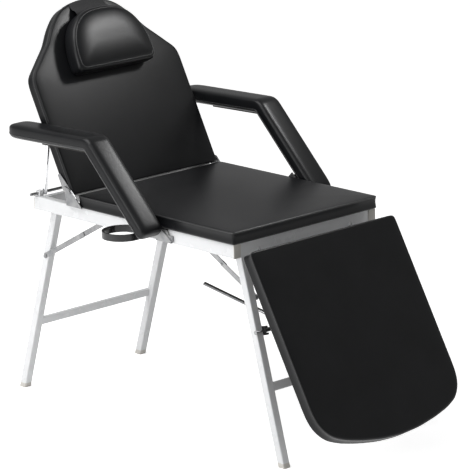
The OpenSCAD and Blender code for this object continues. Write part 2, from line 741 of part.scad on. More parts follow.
// Head pillow and its strap: a boxed D on its straight side, with a crowned face
pillow_start = 323;
pillow_corner_share = [0.13, 0.11];
pillow_half = concat(
    [for (k = [0:3]) [(1 - pillow_corner_share[0]) * k / 4, 0]],
    [for (a = [0:22.5:70]) [1 - pillow_corner_share[0] * (1 - sin(a)), pillow_corner_share[1] * (1 - cos(a))]],
    [for (a = [0:9:85]) [pow(cos(a), 0.75), pillow_corner_share[1] + (1 - pillow_corner_share[1]) * pow(sin(a), 0.85)]],
    [[0, 1]]);
pillow_rings = [[0.12, 0], [0.02, 0.05], [0, 0.2], [0, 0.6], [0.02, 0.72], [0.08, 0.81], [0.16, 0.87], [0.34, 0.93],
    [0.56, 0.97], [0.8, 0.995]];
pillow_base_out = back_face_out + crown_rise + soft_gap;
function pillow_ring(draw, height) = let (mid = pillow_h / 2)
    [for (p = half_outline(pillow_half, pillow_w / 2, pillow_h))
        [p[0] * (1 - draw), mid + (p[1] - mid) * (1 - draw), pillow_t * height]];
module head_pillow() {
    color(black_hide) place() back_pose() translate([0, pillow_start, pillow_base_out])
        rings_solid([for (r = pillow_rings) pillow_ring(r[0], r[1])]);
}
strap_w = 130;
strap_tail = 80;
module pillow_strap() {
    t = 2;
    top_s = back_len - back_lap + soft_gap;
    low_s = pillow_start + pillow_h + soft_gap;
    rear_s = top_s - strap_tail;
    front_n = pillow_base_out;
    rear_n = back_rear_out - soft_gap;
    color(black_hide) place() back_pose() yz_plate(-strap_w / 2, strap_w)
        polygon([[low_s, front_n], [top_s, front_n], [top_s, rear_n], [rear_s, rear_n], [rear_s, rear_n - t],
            [top_s + t, rear_n - t], [top_s + t, front_n + t], [low_s, front_n + t]]);
}

// Leg rest: s runs down the rest from the hinge, n stands out of its front
leg_shares = [[0.985, 0], [1, 0.012], [1, 0.2], [1, 0.4], [1, 0.6], [1, 0.785], [0.985, 0.835], [0.94, 0.88],
    [0.86, 0.918], [0.71, 0.948], [0.5, 0.973], [0.25, 0.993], [0, 1]];
leg_rear_out = leg_face_out - pad_t;
module leg_board() {
    color(black_stain) place() leg_rest_pose() translate([0, leg_lap + edge_r, leg_rear_out])
        linear_extrude(board_t) polygon(half_outline(leg_shares, pad_half - edge_r, leg_len - 2 * edge_r));
}
module leg_pad() {
    color(black_hide) place() leg_rest_pose() translate([0, leg_lap, leg_rear_out + board_t])
        cushion(half_outline(leg_shares, pad_half, leg_len), pad_t - board_t, edge_r, crown_rise);
}
knuckle_r = 5;
leg_pin_r = 3;
arm_foot = 46;
module leg_hinge_arms() {
    foot_n = leg_rear_out - arm_plate_t;
    start = leg_lap + edge_r;
    color(zinc) place() leg_rest_pose() both_sides() difference() {
        union() {
            yz_plate(arm_x - arm_plate_t / 2, arm_plate_t) union() {
                circle(knuckle_r);
                polygon([[-knuckle_r, 0], [knuckle_r, 0], [start + arm_foot / 2, foot_n + arm_plate_t / 2],
                    [start, foot_n + arm_plate_t / 2]]);
            }
            translate([arm_x - arm_foot / 2, start, foot_n]) cube([arm_foot, arm_foot, arm_plate_t]);
        }
        x_pin(leg_pin_r + run_gap, arm_x - arm_plate_t, 2 * arm_plate_t, 0, 0);
    }
}
module leg_hinge_lugs() {
    t = arm_plate_t;
    color(white_paint) place() both_sides() for (side = [-1, 1]) difference() {
        yz_plate(arm_x + side * (t + side_gap) - t / 2, t) union() {
            translate(leg_hinge) circle(knuckle_r);
            polygon([[leg_hinge_y, leg_hinge_z - knuckle_r], [0, rail_bottom], [0, leg_hinge_z + 3 * knuckle_r],
                [leg_hinge_y, leg_hinge_z + knuckle_r]]);
        }
        x_pin(leg_pin_r + run_gap, arm_x - 3 * t, 6 * t, leg_hinge_y, leg_hinge_z);
    }
}
module leg_hinge_pins() {
    reach = 1.5 * arm_plate_t + side_gap;
    head = 2;
    color(zinc) place() both_sides() {
        x_pin(leg_pin_r, arm_x - reach, 2 * reach, leg_hinge_y, leg_hinge_z);
        for (x = [arm_x - reach - head, arm_x + reach])
            x_pin(leg_pin_r * 1.5, x, head, leg_hinge_y, leg_hinge_z);
    }
}

// Rods, their brackets on the leg rest, and the clamps on the axle
rod_r = rod_d / 2;
module rod_brackets() {
    t = arm_plate_t;
    gap = rod_r + side_gap;
    base = 50;
    color(zinc) place() leg_rest_pose() both_sides() {
        translate([rod_x - gap - 2 * t, rod_joint_down - base / 2, leg_rear_out - t]) cube([2 * gap + 4 * t, base, t]);
        for (side = [-1, 1]) yz_plate(rod_x + side * (gap + t / 2) - t / 2, t) union() {
            translate([rod_joint_down, rod_joint_out]) circle(1.2 * rod_r);
            polygon([[rod_joint_down - 1.2 * rod_r, rod_joint_out], [rod_joint_down + 1.2 * rod_r, rod_joint_out],
                [rod_joint_down + base / 2, leg_rear_out - t], [rod_joint_down - base / 2, leg_rear_out - t]]);
        }
        for (side = [-1, 1])
            x_pin(rod_r / 2, rod_x + side * (gap + 1.5 * t) - t / 2, t, rod_joint_down, rod_joint_out);
    }
}
module on_rods() {
    translate([0, axle[0], axle[1]]) rotate([rod_slope, 0, 0]) children();
}
module support_rods() {
    color(chrome) place() on_rods() both_sides() translate([rod_x, -rod_front, 0]) rotate([-90, 0, 0]) {
        cylinder(r = rod_r, h = rod_front + rod_tail);
        sphere(r = rod_r);
    }
}
module clamp_axle() {
    reach = leg_in - cradle_t - side_gap;
    block = clamp_w / 2;
    color(black_plastic) place() {
        x_pin(axle_r, block - rod_x, 2 * (rod_x - block), axle[0], axle[1]);
        both_sides() x_pin(axle_r, rod_x + block, reach - rod_x - block, axle[0], axle[1]);
    }
}
knob_stem_r = 4;
module rod_clamps() {
    color(black_plastic) place() on_rods() both_sides() difference() {
        x_pin(clamp_r, rod_x - clamp_w / 2, clamp_w, 0, 0);
        translate([rod_x, -clamp_r - over, 0]) rotate([-90, 0, 0])
            cylinder(r = rod_r + run_gap, h = 2 * clamp_r + 2 * over);
        translate([rod_x, 0, -clamp_r - over]) cylinder(r = knob_stem_r + run_gap, h = clamp_r - rod_r + over);
    }
}
knob_r = 15;
knob_h = 13;
knob_lobes = 6;
module clamp_knob(side) {
    color(black_plastic) place() on_rods() translate([side * rod_x, 0, -clamp_r]) {
        translate([0, 0, -2 * side_gap - knob_h]) difference() {
            cylinder(r = knob_r, h = knob_h);
            for (i = [0:knob_lobes - 1]) rotate(i * 360 / knob_lobes)
                translate([knob_r * 1.18, 0, -over]) cylinder(r = knob_r * 0.36, h = knob_h + 2 * over);
        }
        translate([0, 0, -2 * side_gap]) cylinder(r = knob_stem_r, h = clamp_r - rod_r + side_gap);
    }
}
module clamp_knob_left() {
    clamp_knob(-1);
}
module clamp_knob_right() {
    clamp_knob(1);
}

// Armrests: a padded bar that follows a bent path, on a board, with a keeper for the rail's wedge
arm_droop = 1.5;
arm_bend_r = 30;
arm_turn = arm_drop + arm_droop;
arm_apex = [arm_bend_y, arm_top_z - arm_t / 2];
arm_rear_dir = [cos(arm_droop), -sin(arm_droop)];
arm_low_dir = [-cos(arm_drop), -sin(arm_drop)];
arm_tangent = arm_bend_r * tan(arm_turn / 2);
arm_arc = arm_bend_r * arm_turn * PI / 180;
arm_run = arm_level + arm_slope - 2 * arm_tangent + arm_arc;
// Heading of the path at distance d from the rear tip, and the point there, n above its middle
function arm_heading(d) =
    let (q = (d - arm_level + arm_tangent) / arm_arc) 180 - arm_droop + arm_turn * min(1, max(0, q));
function arm_point(d, n) =
    let (a0 = arm_level - arm_tangent, a1 = a0 + arm_arc, a = arm_heading(d),
        up = [sin(a), -cos(a)],
        hub = arm_apex + arm_rear_dir * arm_tangent - arm_bend_r * [sin(180 - arm_droop), -cos(180 - arm_droop)])
    (d < a0 ? arm_apex + arm_rear_dir * (arm_level - d)
        : d > a1 ? arm_apex + arm_low_dir * (arm_tangent + d - a1)
        : hub + arm_bend_r * up) + n * up;
arm_section = 20;
function arm_curve(v, p) = sign(v) * pow(abs(v), p);
function arm_ring(d, ws, ts) = [for (i = [0:arm_section - 1])
    let (a = -i * 360 / arm_section, p = arm_point(d, ts * arm_t / 2 * arm_curve(sin(a), 0.7)))
    [ws * arm_w / 2 * arm_curve(cos(a), 0.45), p[0], p[1]]];
// Rear tip, straight, bend, straight, lower end: [distance share, width share, thickness share]
arm_tip = 46;
arm_toe = 26;
arm_tip_shares = [[0, 0.16, 0.1], [0.04, 0.4, 0.34], [0.15, 0.64, 0.6], [0.38, 0.84, 0.82], [0.7, 0.96, 0.95],
    [1, 1, 1]];
arm_toe_shares = [[1, 1, 1], [0.6, 0.98, 0.94], [0.3, 0.93, 0.8], [0.1, 0.84, 0.56], [0, 0.7, 0.3]];
arm_bend_steps = 6;
module armrest_pad() {
    a0 = arm_level - arm_tangent;
    translate([arm_in + arm_w / 2, 0, 0]) rings_solid(concat(
        [for (s = arm_tip_shares) arm_ring(s[0] * arm_tip, s[1], s[2])],
        [for (k = [1:3]) arm_ring(arm_tip + (a0 - arm_tip) * k / 4, 1, 1)],
        [for (k = [0:arm_bend_steps]) arm_ring(a0 + arm_arc * k / arm_bend_steps, 1, 1)],
        [for (k = [1:3]) arm_ring(a0 + arm_arc + (arm_run - a0 - arm_arc - arm_toe) * k / 4, 1, 1)],
        [for (s = arm_toe_shares) arm_ring(arm_run - s[0] * arm_toe, s[1], s[2])]));
}
arm_board_t = 5;
arm_board_inset = 14;
arm_board_from = 150;
arm_board_to = 30;
function strip(from, to, n, steps) = [for (k = [0:steps]) arm_point(from + (to - from) * k / steps, n)];
function reverse(v) = [for (i = [len(v) - 1:-1:0]) v[i]];
module armrest_board() {
    top_n = -arm_t / 2 - soft_gap;
    to = arm_run - arm_board_to;
    yz_plate(arm_in + arm_board_inset, arm_w - 2 * arm_board_inset)
        polygon(concat(strip(arm_board_from, to, top_n, 28),
            reverse(strip(arm_board_from, to, top_n - arm_board_t, 28))));
}
keeper_from = 90;
keeper_to = 36;
keeper_clear = 0.3;
keeper_rise = 8;
keeper_side = 7;
// The armrest is lifted this far off its wedge, the hook passing below the seat pad, and is then drawn outwards
keeper_lift = 25;
module armrest_keeper() {
    under_n = -arm_t / 2 - soft_gap - arm_board_t;
    keeper_x = rail_out + wedge_t + side_gap;
    low_z = rail_bottom + keeper_rise;
    hook_z = rail_top + board_t - keeper_lift - 2 * side_gap;
    half = wedge_low / 2 + keeper_side;
    yz_plate(keeper_x, keeper_t)
        polygon([[wedge_y - half, low_z], [wedge_y + half, low_z],
            arm_point(arm_run - keeper_to, under_n - keeper_t), arm_point(arm_run - keeper_from, under_n - keeper_t),
            arm_point(arm_run - keeper_from, -arm_t / 4), arm_point(arm_run - keeper_to, -arm_t / 4)]);
    difference() {
        yz_plate(rail_out + keeper_clear, keeper_x - rail_out - keeper_clear)
            polygon([[wedge_y - half, low_z], [wedge_y + half, low_z], [wedge_y + half, hook_z],
                [wedge_y - half, hook_z]]);
        yz_plate(rail_out, 2 * wedge_t) wedge_outline(keeper_clear, over);
    }
    yz_plate(keeper_x + keeper_t, arm_in + arm_w * 0.6 - keeper_x - keeper_t)
        polygon([arm_point(arm_run - keeper_to, under_n), arm_point(arm_run - keeper_from, under_n),
            arm_point(arm_run - keeper_from, under_n - keeper_t), arm_point(arm_run - keeper_to, under_n - keeper_t)]);
}
// Outline of the rail's wedge, grown by g at its sides and its top, and run down by d
module wedge_outline(g, d) {
    lean = (wedge_low - wedge_high) / 2 / wedge_h;
    z0 = rail_bottom + tube_wall - d * rail_h;
    z1 = rail_bottom + tube_wall + wedge_h + g;
    w0 = wedge_low / 2 + g + d * rail_h * lean;
    w1 = wedge_high / 2 + g;
    polygon([[wedge_y - w0, z0], [wedge_y + w0, z0], [wedge_y + w1, z1], [wedge_y - w1, z1]]);
}
module wedge_plates() {
    color(zinc) place() both_sides() yz_plate(rail_out, wedge_t) wedge_outline(0, 0);
}
module armrest_pad_left() {
    color(black_hide) place() mirror([1, 0, 0]) armrest_pad();
}
module armrest_pad_right() {
    color(black_hide) place() armrest_pad();
}
module armrest_board_left() {
    color(black_stain) place() mirror([1, 0, 0]) armrest_board();
}
module armrest_board_right() {
    color(black_stain) place() armrest_board();
}
module armrest_keeper_left() {
    color(zinc) place() mirror([1, 0, 0]) armrest_keeper();
}
module armrest_keeper_right() {
    color(zinc) place() armrest_keeper();
}

// Holder ring on the left rail
bracket_t = 3;
bracket_w = 40;
module holder_ring() {
    outer = ring_r + ring_wall;
    color(black_plastic) place() translate([-ring_x, ring_y, ring_z]) difference() {
        cylinder(r = outer, h = ring_h, $fn = 96);
        translate([0, 0, -over]) cylinder(r = ring_r, h = ring_h + 2 * over, $fn = 96);
    }
}
neck_share = 0.6;
module holder_bracket() {
    outer = ring_r + ring_wall;
    neck = neck_share * bracket_w;
    color(black_plastic) place() {
        translate([-rail_out - bracket_t, ring_y - bracket_w / 2, ring_z - 2 * bracket_t])
            cube([bracket_t, bracket_w, rail_top - ring_z + bracket_t]);
        difference() {
            translate([-ring_x, ring_y - neck / 2, ring_z]) cube([ring_x - rail_out - bracket_t, neck, ring_h * 0.7]);
            translate([-ring_x, ring_y, ring_z - over]) cylinder(r = outer, h = ring_h + 2 * over, $fn = 96);
        }
    }
}

side_rail_left();
side_rail_right();
front_cross_rail();
rear_cross_rail();
rail_caps();
seat_board();
seat_pad();
rail_screws();
leg_pivot_bolts();
back_hinge_plates();
back_hinge_pins();
bail_brackets();
leg_hinge_lugs();
leg_hinge_pins();
stay_lugs();
stay_frame_pins();
wedge_plates();
holder_ring();
holder_bracket();
rear_leg_left();
rear_leg_right();
rear_crossbar();
rear_foot_caps();
rear_stay_pins();
front_leg_left();
front_leg_right();
front_crossbar();
front_foot_caps();
front_stay_pins();
cradles();
cradle_bolts();
rear_stay_lower();
rear_stay_upper();
front_stay_lower();
front_stay_upper();
back_board();
back_pad();
back_hinge_straps();
back_racks();
head_pillow();
pillow_strap();
bail_rod();
bail_struts();
bail_top_rod();
leg_board();
leg_pad();
leg_hinge_arms();
rod_brackets();
clamp_axle();
rod_clamps();
support_rods();
clamp_knob_left();
clamp_knob_right();
armrest_pad_left();
armrest_pad_right();
armrest_board_left();
armrest_board_right();
armrest_keeper_left();
armrest_keeper_right();
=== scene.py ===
"""Looks for the folding treatment table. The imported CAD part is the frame, and its cushions, piping, head
pillow, strap and armrest covers are modelled here round it. Lengths are metres."""

import json
import math

import bmesh
import bpy
from mathutils import Matrix, Vector


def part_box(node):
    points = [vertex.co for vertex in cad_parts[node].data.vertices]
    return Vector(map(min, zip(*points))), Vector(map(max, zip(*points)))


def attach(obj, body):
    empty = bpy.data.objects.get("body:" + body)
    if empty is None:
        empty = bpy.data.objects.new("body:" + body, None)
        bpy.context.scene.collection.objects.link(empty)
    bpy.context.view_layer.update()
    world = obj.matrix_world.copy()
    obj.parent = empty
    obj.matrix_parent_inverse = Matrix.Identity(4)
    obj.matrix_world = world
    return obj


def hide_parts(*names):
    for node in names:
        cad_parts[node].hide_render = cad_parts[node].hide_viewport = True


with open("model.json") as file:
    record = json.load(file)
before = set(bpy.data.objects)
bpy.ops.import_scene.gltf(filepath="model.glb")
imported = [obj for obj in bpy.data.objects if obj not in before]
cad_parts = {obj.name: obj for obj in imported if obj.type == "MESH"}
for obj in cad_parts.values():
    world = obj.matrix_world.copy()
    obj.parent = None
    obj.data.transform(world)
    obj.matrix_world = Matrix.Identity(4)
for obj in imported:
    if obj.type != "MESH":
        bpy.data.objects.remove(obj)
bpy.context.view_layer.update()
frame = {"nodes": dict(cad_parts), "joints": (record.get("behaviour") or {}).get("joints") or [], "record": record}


# Sizes that the frame gives

def measured(value):
    """A size read from the frame, to the nearest micrometre."""
    return round(value, 6)


rail_low, rail_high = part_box("side_rail_left")
board_low, board_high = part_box("seat_board")
seat_low, seat_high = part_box("seat_pad")
arm_low, arm_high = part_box("armrest_pad_right")
joints = {joint["name"]: joint for joint in frame["joints"]}

MIDDLE_X = measured((seat_low.x + seat_high.x) / 2)
RAIL_FRONT = measured(rail_low.y)
RAIL_TOP = measured(rail_high.z)
BOARD_THICK = measured(board_high.z - board_low.z)
PAD_HALF = measured((seat_high.x - seat_low.x) / 2)
SEAT_FRONT = measured(seat_low.y - RAIL_FRONT)
SEAT_LENGTH = measured(seat_high.y - seat_low.y)
ARM_IN = measured(arm_low.x - MIDDLE_X)
ARM_WIDTH = measured(arm_high.x - arm_low.x)


def hinge(name):
    """Where a hinge lies, behind the rails' front ends and above the floor, and how many degrees its piece
    stands from level, which is the hinge's first limit."""
    _, y, z = joints[name]["pos_m"]
    return (measured(y - RAIL_FRONT), z), -joints[name]["range_deg"][0]


BACK_HINGE, BACK_ANGLE = hinge("back_recline")
LEG_HINGE, LEG_ANGLE = hinge("leg_rest_tilt")

# Sizes as the CAD source has them, of pieces that are tilted or bent, so that no box gives them.
# PAD_THICK is a cushion with its board, and a FACE is how far a cushion's face lies out from its hinge.
# The back's cushion laps past its hinge, and the leg rest's starts a little way from its own.
# An armrest has a level run with a droop and a slope with a drop, both in degrees. The two runs are measured
# to the apex where they would meet, which lies behind the rails' front ends and above the floor.
PAD_THICK = 0.037
BACK_FACE = 0.0124
BACK_LENGTH = 0.568
BACK_LAP = 0.013
LEG_FACE = 0.0722
LEG_LENGTH = 0.597
LEG_START = 0.0084
ARM_THICK = 0.042
ARM_LEVEL, ARM_SLOPE = 0.355, 0.322
ARM_DROP, ARM_DROOP = 45.5, 1.5
ARM_APEX = (0.498, 0.841)
ARM_BEND = 0.030

# Right half of a cushion's outline from its hinge end, as shares of half its width and of its length
BACK_OUTLINE_SHARES = [(0.985, 0), (1, 0.015), (1, 0.2), (1, 0.4), (1, 0.6), (0.985, 0.645), (0.915, 0.677),
                       (0.787, 0.738), (0.656, 0.7985), (0.578, 0.856), (0.489, 0.904), (0.394, 0.946),
                       (0.291, 0.970), (0.2, 0.980), (0.1, 0.986), (0, 0.988)]
LEG_OUTLINE_SHARES = [(0.985, 0), (1, 0.012), (1, 0.2), (1, 0.4), (1, 0.6), (1, 0.785), (0.985, 0.835),
                      (0.94, 0.88), (0.86, 0.918), (0.71, 0.948), (0.5, 0.973), (0.25, 0.993), (0, 1)]


def placed(y, z, tilt=0.0, flipped=False):
    """Matrix from a cushion's own frame (across, along, out of its face) into the table's frame.
    A flipped one runs forwards from its hinge."""
    turn = Matrix.Translation((MIDDLE_X, RAIL_FRONT + y, z)) @ Matrix.Rotation(math.radians(tilt), 4, "X")
    return turn @ Matrix.Scale(-1, 4, (0, 1, 0)) if flipped else turn


SEAT_PLACE = placed(SEAT_FRONT + SEAT_LENGTH / 2, RAIL_TOP + BOARD_THICK)
BACK_PLACE = placed(*BACK_HINGE, BACK_ANGLE)
LEG_PLACE = placed(*LEG_HINGE, LEG_ANGLE, flipped=True)


# Shared effects as shader node groups

def add(tree, kind, **values):
    """A new node. Each value goes to the node's setting of that name, or else to its input of that name."""
    node = tree.nodes.new(kind)
    for key, value in values.items():
        if hasattr(node, key):
            setattr(node, key, value)
        else:
            node.inputs[key.replace("_", " ")].default_value = value
    return node


def effect(name, scales, masks):
    """A new node group that takes a place and named scales, and gives named masks."""
    group = bpy.data.node_groups.new(name, "ShaderNodeTree")
    group.interface.new_socket("Vector", in_out="INPUT", socket_type="NodeSocketVector")
    for label, scale in scales.items():
        socket = group.interface.new_socket(label, in_out="INPUT", socket_type="NodeSocketFloat")
        socket.default_value = scale
    for label in masks:
        group.interface.new_socket(label, in_out="OUTPUT", socket_type="NodeSocketFloat")
    return group, group.nodes.new("NodeGroupInput"), group.nodes.new("NodeGroupOutput")


def noise(group, place, scale, **values):
    """A noise texture's mask at a place and a scale that the group is given."""
    texture = add(group, "ShaderNodeTexNoise", **values)
    group.links.new(place, texture.inputs["Vector"])
    group.links.new(scale, texture.inputs["Scale"])
    return texture.outputs["Fac"]


def stretched(group, mask, low, high):
    """A mask whose values between low and high fill the whole range from 0 to 1."""
    spread = add(group, "ShaderNodeMapRange", From_Min=low, From_Max=high)
    group.links.new(mask, spread.inputs["Value"])
    return spread.outputs["Result"]


def make_hide_grain():
    """Pebbled hide: small cells with soft grooves between them, on broad swells."""
    wander = 0.002
    groove = 0.28
    pebble_height = 0.25
    group, given, out = effect("Hide grain", {"Pebble": 700.0, "Swell": 9.0}, ("Height", "Tone", "Gloss"))
    links = group.links
    bend = add(group, "ShaderNodeTexNoise", Scale=60.0, Detail=2.0)
    links.new(given.outputs["Vector"], bend.inputs["Vector"])
    shift = add(group, "ShaderNodeVectorMath", operation="MULTIPLY_ADD")
    shift.inputs[1].default_value = (wander, wander, wander)
    links.new(bend.outputs["Color"], shift.inputs[0])
    links.new(given.outputs["Vector"], shift.inputs[2])
    cells = add(group, "ShaderNodeTexVoronoi", feature="DISTANCE_TO_EDGE")
    links.new(shift.outputs["Vector"], cells.inputs["Vector"])
    links.new(given.outputs["Pebble"], cells.inputs["Scale"])
    pebble = add(group, "ShaderNodeMapRange", interpolation_type="SMOOTHSTEP", From_Max=groove)
    links.new(cells.outputs["Distance"], pebble.inputs["Value"])
    swell = noise(group, given.outputs["Vector"], given.outputs["Swell"], Detail=3.0, Roughness=0.55)
    height = add(group, "ShaderNodeMath", operation="MULTIPLY_ADD")
    height.inputs[1].default_value = pebble_height
    links.new(pebble.outputs["Result"], height.inputs[0])
    links.new(swell, height.inputs[2])
    links.new(height.outputs["Value"], out.inputs["Height"])
    links.new(stretched(group, swell, low=0.3, high=0.7), out.inputs["Tone"])
    links.new(pebble.outputs["Result"], out.inputs["Gloss"])
    return group


def make_mottle():
    """Fine unevenness of a finish: paint skin, moulded texture or plating spangle."""
    group, given, out = effect("Mottle", {"Fine": 400.0, "Broad": 12.0}, ("Height", "Tone"))
    fine = noise(group, given.outputs["Vector"], given.outputs["Fine"], Detail=2.0)
    broad = noise(group, given.outputs["Vector"], given.outputs["Broad"], Detail=4.0, Roughness=0.6)
    group.links.new(fine, out.inputs["Height"])
    group.links.new(stretched(group, broad, low=0.3, high=0.7), out.inputs["Tone"])
    return group


def make_streaks():
    """Long streaks along Y, as in wood."""
    squeeze = 0.06
    group, given, out = effect("Streaks", {"Across": 160.0}, ("Height", "Tone"))
    drawn = add(group, "ShaderNodeVectorMath", operation="MULTIPLY")
    drawn.inputs[1].default_value = (1, squeeze, 1)
    group.links.new(given.outputs["Vector"], drawn.inputs[0])
    streak = noise(group, drawn.outputs["Vector"], given.outputs["Across"], Detail=5.0, Roughness=0.65)
    group.links.new(streak, out.inputs["Height"])
    group.links.new(stretched(group, streak, low=0.35, high=0.65), out.inputs["Tone"])
    return group


def make_weave():
    """Plain weave of elastic webbing."""
    group, given, out = effect("Weave", {"Threads": 900.0}, ("Height", "Tone"))
    both = add(group, "ShaderNodeMath", operation="MAXIMUM")
    for k, direction in enumerate("XY"):
        wave = add(group, "ShaderNodeTexWave", bands_direction=direction)
        group.links.new(given.outputs["Vector"], wave.inputs["Vector"])
        group.links.new(given.outputs["Threads"], wave.inputs["Scale"])
        group.links.new(wave.outputs["Fac"], both.inputs[k])
    for label in ("Height", "Tone"):
        group.links.new(both.outputs["Value"], out.inputs[label])
    return group


HIDE_GRAIN = make_hide_grain()
MOTTLE = make_mottle()
STREAKS = make_streaks()
WEAVE = make_weave()


# Finishes, by the record's material slots

def finish(name, surface_effect, colours, roughness, depth, scales=None, sockets=None, gloss="Tone"):
    """A material whose colour and roughness each run between two values by the effect's masks."""
    material = bpy.data.materials.new(name)
    material.use_nodes = True
    tree = material.node_tree
    links = tree.links
    shader = tree.nodes["Principled BSDF"]
    place = add(tree, "ShaderNodeTexCoord")
    surface = add(tree, "ShaderNodeGroup", node_tree=surface_effect)
    for label, scale in (scales or {}).items():
        surface.inputs[label].default_value = scale
    links.new(place.outputs["Object"], surface.inputs["Vector"])
    tint = add(tree, "ShaderNodeMix", data_type="RGBA", A=(*colours[0], 1), B=(*colours[1], 1))
    links.new(surface.outputs["Tone"], tint.inputs["Factor"])
    links.new(tint.outputs["Result"], shader.inputs["Base Color"])
    shine = add(tree, "ShaderNodeMapRange", To_Min=roughness[0], To_Max=roughness[1])
    links.new(surface.outputs[gloss], shine.inputs["Value"])
    links.new(shine.outputs["Result"], shader.inputs["Roughness"])
    bump = add(tree, "ShaderNodeBump", Strength=1.0, Distance=depth)
    links.new(surface.outputs["Height"], bump.inputs["Height"])
    links.new(bump.outputs["Normal"], shader.inputs["Normal"])
    for label, value in (sockets or {}).items():
        shader.inputs[label].default_value = value
    return material


FINISHES = {
    "black_leatherette": finish("Black leatherette", HIDE_GRAIN, roughness=(0.36, 0.28), depth=0.00007,
                                colours=((0.0045, 0.0048, 0.0055), (0.0075, 0.0078, 0.0088)),
                                sockets={"Specular IOR Level": 0.22}, gloss="Gloss"),
    "piping": finish("Black piping", HIDE_GRAIN, roughness=(0.42, 0.3), depth=0.0001,
                     colours=((0.008, 0.0083, 0.009), (0.013, 0.0133, 0.0145)),
                     scales={"Pebble": 900.0}, sockets={"Specular IOR Level": 0.5}, gloss="Gloss"),
    "strap_webbing": finish("Elastic webbing", WEAVE, roughness=(0.9, 0.75), depth=0.0004,
                            colours=((0.006, 0.006, 0.007), (0.02, 0.02, 0.022))),
    "stained_plywood": finish("Stained plywood", STREAKS, roughness=(0.75, 0.6), depth=0.0002,
                              colours=((0.008, 0.0075, 0.007), (0.028, 0.025, 0.022))),
    "white_paint": finish("White powder coat", MOTTLE, roughness=(0.3, 0.22), depth=0.00004,
                          colours=((0.78, 0.79, 0.80), (0.82, 0.825, 0.835)), scales={"Fine": 900.0},
                          sockets={"Coat Weight": 0.25, "Coat Roughness": 0.08}),
    "beige_plastic": finish("Beige moulded plastic", MOTTLE, roughness=(0.6, 0.45), depth=0.00008,
                            colours=((0.58, 0.56, 0.52), (0.66, 0.64, 0.60)), scales={"Fine": 1200.0}),
    "chrome": finish("Chrome plate", MOTTLE, roughness=(0.05, 0.11), depth=0.00001,
                     colours=((0.74, 0.745, 0.76), (0.82, 0.825, 0.835)), scales={"Broad": 30.0},
                     sockets={"Metallic": 1.0}),
    "gloss_black_plastic": finish("Gloss black plastic", MOTTLE, roughness=(0.2, 0.28), depth=0.00003,
                                  colours=((0.008, 0.008, 0.009), (0.012, 0.012, 0.013))),
    "black_plastic": finish("Black moulded plastic", MOTTLE, roughness=(0.6, 0.48), depth=0.0001,
                            colours=((0.012, 0.012, 0.013), (0.02, 0.02, 0.021)), scales={"Fine": 1500.0}),
    "zinc_plated_steel": finish("Zinc plated steel", MOTTLE, roughness=(0.42, 0.3), depth=0.00004,
                                colours=((0.24, 0.244, 0.252), (0.36, 0.36, 0.36)),
                                scales={"Fine": 700.0, "Broad": 45.0}, sockets={"Metallic": 1.0}),
}


def paint(piece, finish_name):
    """Gives a piece or a CAD node its finish."""
    piece.data.materials.clear()
    piece.data.materials.append(FINISHES[finish_name])


for part in frame["record"]["subparts"]:
    paint(frame["nodes"][part["node"]], part["material_slot"])


# Modelling helpers

def smooth_object(name, mesh):
    """Puts a mesh into the scene as a smooth-shaded object at the origin."""
    for polygon in mesh.polygons:
        polygon.use_smooth = True
    piece = bpy.data.objects.new(name, mesh)
    bpy.context.scene.collection.objects.link(piece)
    return piece


def mesh_object(name, bm, levels=0):
    """Turns a bmesh into an object with its faces outwards, subdivided by some levels."""
    bmesh.ops.recalc_face_normals(bm, faces=bm.faces)
    mesh = bpy.data.meshes.new(name)
    bm.to_mesh(mesh)
    bm.free()
    piece = smooth_object(name, mesh)
    if levels:
        smooth = piece.modifiers.new("Smooth", "SUBSURF")
        smooth.levels = smooth.render_levels = levels
    return piece


def spaced(corners, spacing=0.03):
    """A closed outline through all the corners, with its points about a spacing apart."""
    points = []
    for start, end in zip(corners, corners[1:] + corners[:1]):
        steps = max(1, round(math.dist(start, end) / spacing))
        points += [(start[0] + (end[0] - start[0]) * k / steps, start[1] + (end[1] - start[1]) * k / steps)
                   for k in range(steps)]
    return points


def mirrored_outline(shares, length):
    """Outline of a cushion that is the same on both sides, with its hinge end at zero."""
    right = [(x * PAD_HALF, y * length) for x, y in shares]
    left = [(-x, y) for x, y in reversed(right) if x > 0]
    return spaced(right + left)


def oblong_outline(length, radius=0.009, arc_steps=3):
    """Outline of a plain cushion with small round corners, centred."""
    corners = []
    for side, end, start in ((1, 1, 0), (-1, 1, 90), (-1, -1, 180), (1, -1, 270)):
        for k in range(arc_steps + 1):
            angle = math.radians(start + 90 * k / arc_steps)
            corners.append((side * (PAD_HALF - radius) + radius * math.cos(angle),
                            end * (length / 2 - radius) + radius * math.sin(angle)))
    return spaced(corners)


def middle_and_half(outline):
    """The middle of an outline and half of its size, each as (X, Y)."""
    low = [min(point[k] for point in outline) for k in (0, 1)]
    high = [max(point[k] for point in outline) for k in (0, 1)]
    middle = [(low[k] + high[k]) / 2 for k in (0, 1)]
    half = [(high[k] - low[k]) / 2 for k in (0, 1)]
    return middle, half


def drawn_in(outline, draw, level):
    """The outline drawn in by a distance at its widest, at a level, as raised_form draws it."""
    middle, half = middle_and_half(outline)
    return [(*[middle[k] + (point[k] - middle[k]) * (1 - draw / half[k]) for k in (0, 1)], level)
            for point in outline]


def drawn_out(bm, face):
    """Extrudes the open end of a form and returns its new end. A first face stays, as the form's bottom."""
    inner = len(face.edges[0].link_faces) > 1
    made = bmesh.ops.extrude_face_region(bm, geom=[face])
    if inner and face.is_valid:
        bmesh.ops.delete(bm, geom=[face], context="FACES_ONLY")
    return [g for g in made["geom"] if isinstance(g, bmesh.types.BMFace)][0]


